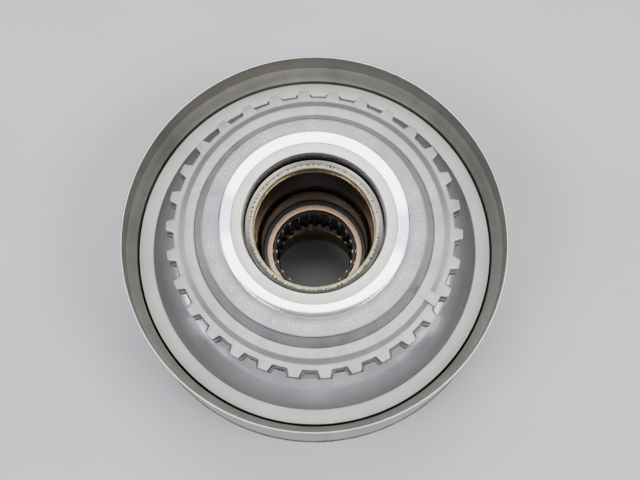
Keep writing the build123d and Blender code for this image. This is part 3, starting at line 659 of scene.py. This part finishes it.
# =====================================================================
# clutch hub with 30 teeth
# =====================================================================
def tooth_outline(root, tip, n, tip_deg, root_deg, a0, fil=0.5):
    pts = []
    for k in range(n):
        c = a0 + 360.0 * k / n
        nxt = c + 360.0 / n
        for r, d, f in ((root, c - root_deg / 2, fil), (tip, c - tip_deg / 2, fil), (tip, c, 0), (tip, c + tip_deg / 2, fil),
                        (root, c + root_deg / 2, fil)):
            x, y = polar(r, d)
            pts.append((x, y, f) if f else (x, y))
        g0, g1 = c + root_deg / 2, nxt - root_deg / 2
        for f in (1 / 3, 2 / 3):
            pts.append(polar(root, g0 + (g1 - g0) * f))
    return corner(pts, True, 3)


def outline_normals(o):
    m = len(o)
    out = []
    for i in range(m):
        ax, ay = o[i - 1]
        bx, by = o[i]
        cx, cy = o[(i + 1) % m]
        n1, n2 = (by - ay, -(bx - ax)), (cy - by, -(cx - bx))
        l1, l2 = math.hypot(*n1) or 1, math.hypot(*n2) or 1
        nx, ny = n1[0] / l1 + n2[0] / l2, n1[1] / l1 + n2[1] / l2
        l = math.hypot(nx, ny) or 1
        out.append((nx / l, ny / l))
    return out


def toothed_disc(name, outline, inner_rows, z0, z1, bev, mats, ids):
    """Disc whose outer edge follows outline; inner_rows is the (r, z) way back from the top to the bottom inside."""
    nrm = outline_normals(outline)
    st = 2
    rows = []
    for j in range(st + 1):
        q = math.pi / 2 * j / st
        rows.append(("o", bev * (1 - math.sin(q)), z0 + bev * (1 - math.cos(q))))
    for j in range(st + 1):
        q = math.pi / 2 * j / st
        rows.append(("o", bev * (1 - math.cos(q)), z1 - bev * (1 - math.sin(q))))
    for r, z in inner_rows:
        rows.append(("i", r, z))
    V = []
    for (x, y), (nx, ny) in zip(outline, nrm):
        rr = math.hypot(x, y)
        for kind, v, z in rows:
            if kind == "o":
                V.append((x - nx * v, y - ny * v, z))
            else:
                V.append((x / rr * v, y / rr * v, z))
    m, k = len(rows), len(outline)
    F, I = [], []
    for i in range(k):
        n2 = (i + 1) % k
        for j in range(m):
            l = (j + 1) % m
            F.append((i * m + j, n2 * m + j, n2 * m + l, i * m + l))
            I.append(ids(j, l, rows))
    return mesh_object(name, V, F, mats, mat_ids=I, sharp=math.radians(32))


top = corner([(75.5, 126.6), (70.0, 126.6, 2.4), (66.8, 129.0, 1.9), (62.0, 129.0, 0.5), (61.26, 128.2), (61.26, 122.9), (61.8, 122.4)], False, 5)[1:]


def hub_ids(j, l, rows):
    zs = (rows[j][2] + rows[l][2]) / 2
    rs = rows[j][1] if rows[j][0] == "i" else 72
    rs2 = rows[l][1] if rows[l][0] == "i" else 72
    rm = (rs + rs2) / 2
    if 67.1 < rm < 69.9 and zs > 126.7:
        return 1
    return 0


ch = toothed_disc("clutch_hub_toothed", tooth_outline(72.5, 76.6, 30, 3.5, 5.8, 10.3), top, 122.4, 126.6, 0.3,
                  [M["clutch"], M["slope"]], hub_ids)
piece(ch, "damper", "clutch_hub", slot="clutch_steel")
sp_rows = [(64.4, 121.6), (64.0, 121.2), (64.0, 119.0), (64.4, 118.6)]
spc = toothed_disc("clutch_spacer_ring_toothed", tooth_outline(73.3, 76.4, 30, 5.8, 7.9, 10.3), sp_rows, 118.6, 121.6, 0.25,
                   [M["spacer"]], lambda j, l, rows: 0)
piece(spc, "damper", "clutch_spacer_ring", slot="clutch_steel")

# =====================================================================
# splined hub sleeve with stepped bore, needle cup
# =====================================================================
def spline_outline(minor, major, n, sub=3):
    out = []
    for k in range(n):
        p = 360.0 / n
        c = p * k
        stops = [(major, c - 0.22 * p), (major, c + 0.22 * p), (minor, c + 0.30 * p), (minor, c + 0.70 * p)]
        for i in range(4):
            r0, d0 = stops[i]
            r1, d1 = stops[(i + 1) % 4]
            if i == 3:
                d1 += p
            for j in range(sub):
                t = j / sub
                out.append((r0 + (r1 - r0) * t, d0 + (d1 - d0) * t))
    return out


sl_prof = corner([(35.0, 58.9), (35.0, 76.0), (33.0, 76.0, 0.15), (33.0, 78.5, 0.15), (35.0, 78.5, 0.15), (35.0, 82.3, 0.1),
                  (33.4, 82.3, 0.15), (33.4, 83.8, 0.15), (35.0, 83.8, 0.15), (35.0, 114.0), (35.0, 128.6, 0.2), (31.0, 128.6, 0.2),
                  (30.4, 128.0, 0.2), (30.4, 100.2, 0.9), (28.6, 98.6, 0.8), (28.4, 97.0), (28.4, 81.2, 0.3), (27.8, 80.6, 0.1),
                  (26.6, 80.6), (26.6, 66.6)], False, 4)
SP = spline_outline(19.9, 21.3, 26)
V, F, I = [], [], []
foot = [(-1, 66.6), (-1, 57.0), (-2, 56.4), (41.5, 56.4), (42.0, 56.9), (42.0, 58.9)]
rows = sl_prof + foot
m = len(rows)
for r0, dg in SP:
    a = math.radians(dg)
    for r, z in rows:
        q = r0 if r == -1 else (r0 + 0.6 if r == -2 else r)
        V.append((q * math.cos(a), q * math.sin(a), z))


def sleeve_id(j):
    r, z = rows[j]
    r2, z2 = rows[(j + 1) % m]
    rm, zm = (r + r2) / 2, (z + z2) / 2
    if r < 0 or r2 < 0 or zm < 66.7:
        return 2
    if rm < 31.2 and (zm > 127.9 or 99.75 < zm < 100.6 or 98.0 < zm < 98.8):
        return 1
    if rm < 31.2 and zm < 98.5:
        return 3
    return 0


row_ids = [sleeve_id(j) for j in range(m)]
for i in range(len(SP)):
    k = (i + 1) % len(SP)
    for j in range(m):
        l = (j + 1) % m
        F.append((i * m + j, k * m + j, k * m + l, i * m + l))
        I.append(row_ids[j])
sleeve = mesh_object("turbine_hub_sleeve", V, F, [M["bore"], M["bore_edge"], M["bore_dark"], M["bore_low"]], mat_ids=I)
piece(sleeve, "turbine", "turbine_hub", slot="bore_steel")
cup = lathe("needle_cup_drawn", [(23.2, 66.62, 0.2), (26.58, 66.62, 0.2), (26.58, 80.6, 0.5), (23.2, 80.6, 0.35)], [M["copper"], M["cup_in"]],
            SEG, lambda r, z: 1 if (r < 23.3 and z < 80.0) or z < 66.9 else 0, n=4)
piece(cup, "turbine", "needle_cup", slot="copper_cup")

# =====================================================================
# hub casting, pilot ring, marks
# =====================================================================
cast_pts = [(35.0, 114.0, 0.5), (43.0, 114.0, 2.0), (48.0, 118.6, 3.0), (59.6, 119.6, 0.6), (61.2, 121.2, 0.6), (61.2, 129.3, 0.3),
            (59.82, 131.8), (57.3, 136.2, 2.0), (43.0, 136.2, 0.2), (42.0, 136.0), (42.0, 142.0, 0.2), (36.8, 142.0, 0.12), (35.8, 141.0, 0.1),
            (35.8, 128.6, 0.1), (35.0, 128.5)]


def pick_cast(r, z):
    if z > 141.2 and r > 36.75:
        return 1
    if r < 37.0 and z > 140.9:
        return 3
    if r < 36.4 and z > 128:
        return 4
    if 57.0 < r and 129.2 < z < 135.9:
        return 2
    return 0


hc = lathe("hub_casting_satin", cast_pts, [M["cast"], M["nose"], M["step"], M["rim_edge"], M["bore"]], SEG, pick_cast)
piece(hc, "turbine", "hub_casting", slot="cast_aluminium")
pr = lathe("pilot_ring_mirror", [(42.02, 136.2, 0.2), (48.3, 136.2, 0.2), (48.3, 142.0, 0.5), (42.02, 142.0, 0.2)], M["mirror"], SEG)
piece(pr, "turbine", "pilot_ring", slot="mirror_steel")


def knurled_race(name):
    """Satin race: warm grey bevel, fine dashed groove, yellow inner edge."""
    m = Mat(name)
    rings = m.turned(3200.0, 1.2, 3200.0, 2.0)
    dash = m.radial(48.0, 30.0, 1.0)
    cloud = m.noise(m.obj, 110.0, 3.0, 0.6)
    tone = m.math("ADD", m.math("MULTIPLY", rings, 0.5), m.math("MULTIPLY", cloud, 0.5))
    t = m.scale(tone, 0.3, 0.7, 0.0, 1.0)
    bevel = m.ramp(t, [(0.0, (0.30, 0.285, 0.25)), (1.0, (0.46, 0.445, 0.40))])
    groove = m.ramp(dash, [(0.40, (0.05, 0.047, 0.035)), (0.54, (0.50, 0.48, 0.40))])
    inner = m.ramp(t, [(0.0, (0.28, 0.26, 0.15)), (1.0, (0.44, 0.41, 0.26))])
    in_groove = m.math("MULTIPLY", m.scale(m.r, 0.03225, 0.03235, 0.0, 1.0), m.scale(m.r, 0.03345, 0.03360, 1.0, 0.0))
    col = m.mix(m.scale(m.r, 0.0326, 0.0331, 0.0, 1.0), inner, bevel)
    col = m.mix(in_groove, col, groove)
    line = m.math("MULTIPLY", m.scale(m.r, 0.0345, 0.0346, 0.0, 1.0), m.scale(m.r, 0.0347, 0.0348, 1.0, 0.0))
    col = m.mix(m.math("MULTIPLY", line, 0.6), col, (0.16, 0.155, 0.14))
    n = m.bump(rings, 0.25, 0.00003)
    return m.set(color=col, metal=0.85, rough=m.scale(cloud, 0.3, 0.7, 0.34, 0.46), normal=n)


wz = 132.1
race = lathe("front_thrust_race_dished", [(31.1, wz, 0.05), (35.4, wz, 0.05), (35.4, wz + 1.9, 0.15), (35.0, wz + 2.2, 0.12), (33.3, wz + 1.2, 0.08),
                                          (33.1, wz + 0.9, 0.05), (32.8, wz + 0.9, 0.05), (32.6, wz + 1.0, 0.06), (31.4, wz + 0.8, 0.15),
                                          (31.1, wz + 0.5, 0.15)], knurled_race("dished_race_satin"), SEG, n=4)
piece(race, "front_washer", "front_thrust_washer", slot="race_steel")


def arc_bar(r, deg, w, h, z0, hgt, bev=0.18):
    """Small raised pad: w along the arc, h along the radius."""
    pts = []
    for s, t in ((-1, -1), (1, -1), (1, 1), (-1, 1)):
        d = deg + s * math.degrees(w / 2 / r)
        pts.append(polar(r + t * h / 2, d) + (min(w, h) * 0.28,))
    return prism_data(corner(pts, True, 3), z0, z0 + hgt, bev, 2, False)


marks = []
MARK_R = 52.8
rng = random.Random(11)


def cw(deg):
    """Clockwise from +Y to counter-clockwise from +X."""
    return 90.0 - deg


for lo, hi in ((68, 106), (110, 151), (158, 213), (215, 226), (230, 263), (300, 351), (355, 367)):
    d = lo + 1.2
    while d < hi - 1.0:
        kind = rng.random()
        if kind < 0.52:
            w, h = 0.75, 3.3
            marks.append(arc_bar(MARK_R, cw(d), w, h, 136.15, 0.34))
            step = w
        elif kind < 0.74:
            w, h = 2.0, 0.8
            for dr in (-1.25, 1.25):
                marks.append(arc_bar(MARK_R + dr, cw(d + 0.8), w, h, 136.15, 0.34))
            step = w + 0.5
        elif kind < 0.88:
            marks.append(arc_bar(MARK_R, cw(d + 0.4), 1.3, 1.3, 136.15, 0.34))
            step = 1.4
        else:
            step = 1.6
        d += math.degrees((step + 0.9) / MARK_R)
cm = join_meshes("casting_marks_raised", marks, M["mark"])
piece(cm, "turbine", slot="cast_aluminium")

# =====================================================================
# stage, light, camera
# =====================================================================
floor_me = bpy.data.meshes.new("floor")
s = 3.0
floor_me.from_pydata([(-s, -s, 0), (s, -s, 0), (s, s, 0), (-s, s, 0)], [], [(0, 1, 2, 3)])
floor = bpy.data.objects.new("floor", floor_me)
bpy.context.scene.collection.objects.link(floor)
fm = Mat("floor_pale")
cl = fm.noise(fm.obj, 6.0, 3.0, 0.5)
fm.set(color=fm.ramp(cl, [(0.3, (0.60, 0.61, 0.63)), (0.7, (0.66, 0.67, 0.69))]), metal=0.0, rough=0.8)
floor_me.materials.append(fm.m)

world = bpy.data.worlds.new("studio")
bpy.context.scene.world = world
world.use_nodes = True
wn = world.node_tree
bg = wn.nodes["Background"]
tc = wn.nodes.new("ShaderNodeTexCoord")
sx = wn.nodes.new("ShaderNodeSeparateXYZ")
wn.links.new(tc.outputs["Generated"], sx.inputs[0])
rp = wn.nodes.new("ShaderNodeValToRGB")
rp.color_ramp.elements[0].position = 0.0
rp.color_ramp.elements[0].color = (0.16, 0.165, 0.18, 1)
rp.color_ramp.elements[1].position = 1.0
rp.color_ramp.elements[1].color = (0.62, 0.65, 0.72, 1)
e = rp.color_ramp.elements.new(0.45)
e.color = (0.22, 0.23, 0.26, 1)
wn.links.new(sx.outputs[2], rp.inputs[0])
wn.links.new(rp.outputs[0], bg.inputs[0])
bg.inputs[1].default_value = 0.7


def area(name, loc, target, size, power, color=(1, 1, 1), size_y=None):
    L = bpy.data.lights.new(name, "AREA")
    L.energy = power
    L.color = color
    L.shape = "RECTANGLE"
    L.size = size
    L.size_y = size_y or size
    o = bpy.data.objects.new(name, L)
    o.location = loc
    o.rotation_euler = (Vector(target) - Vector(loc)).to_track_quat("-Z", "Y").to_euler()
    bpy.context.scene.collection.objects.link(o)
    return o


area("key", (0.0, 0.50, 1.55), (0, 0, 0.10), 0.75, 12.0, (1.0, 0.99, 0.97), 0.75)
area("front_left", (-0.55, -0.42, 1.35), (0, 0, 0.09), 0.40, 10.0, (0.97, 0.98, 1.0))
area("front_right", (0.60, -0.34, 1.30), (0, 0, 0.09), 0.40, 10.0, (1.0, 0.985, 0.96))
area("side_left", (-1.3, 0.1, 0.8), (0, 0, 0.10), 0.6, 5.0, (0.93, 0.95, 1.0))
area("side_right", (1.3, 0.1, 0.8), (0, 0, 0.10), 0.6, 5.0, (1.0, 0.98, 0.95))

cam_data = bpy.data.cameras.new("camera")
cam = bpy.data.objects.new("camera", cam_data)
bpy.context.scene.collection.objects.link(cam)
bpy.context.scene.camera = cam
cam_data.sensor_width = 36.0
cam_data.lens = 62.6
cam_data.clip_start = 0.01
tilt = math.radians(13.88)
d = Vector((0, math.sin(tilt), -math.cos(tilt)))
up = Vector((0, math.cos(tilt), math.sin(tilt)))
face = Vector((0, 0, 0.142))
C = face - d * 0.5584 - up * 0.0090 + Vector((0.003, 0, 0))
cam.location = C
cam.rotation_euler = d.to_track_quat("-Z", "Y").to_euler()
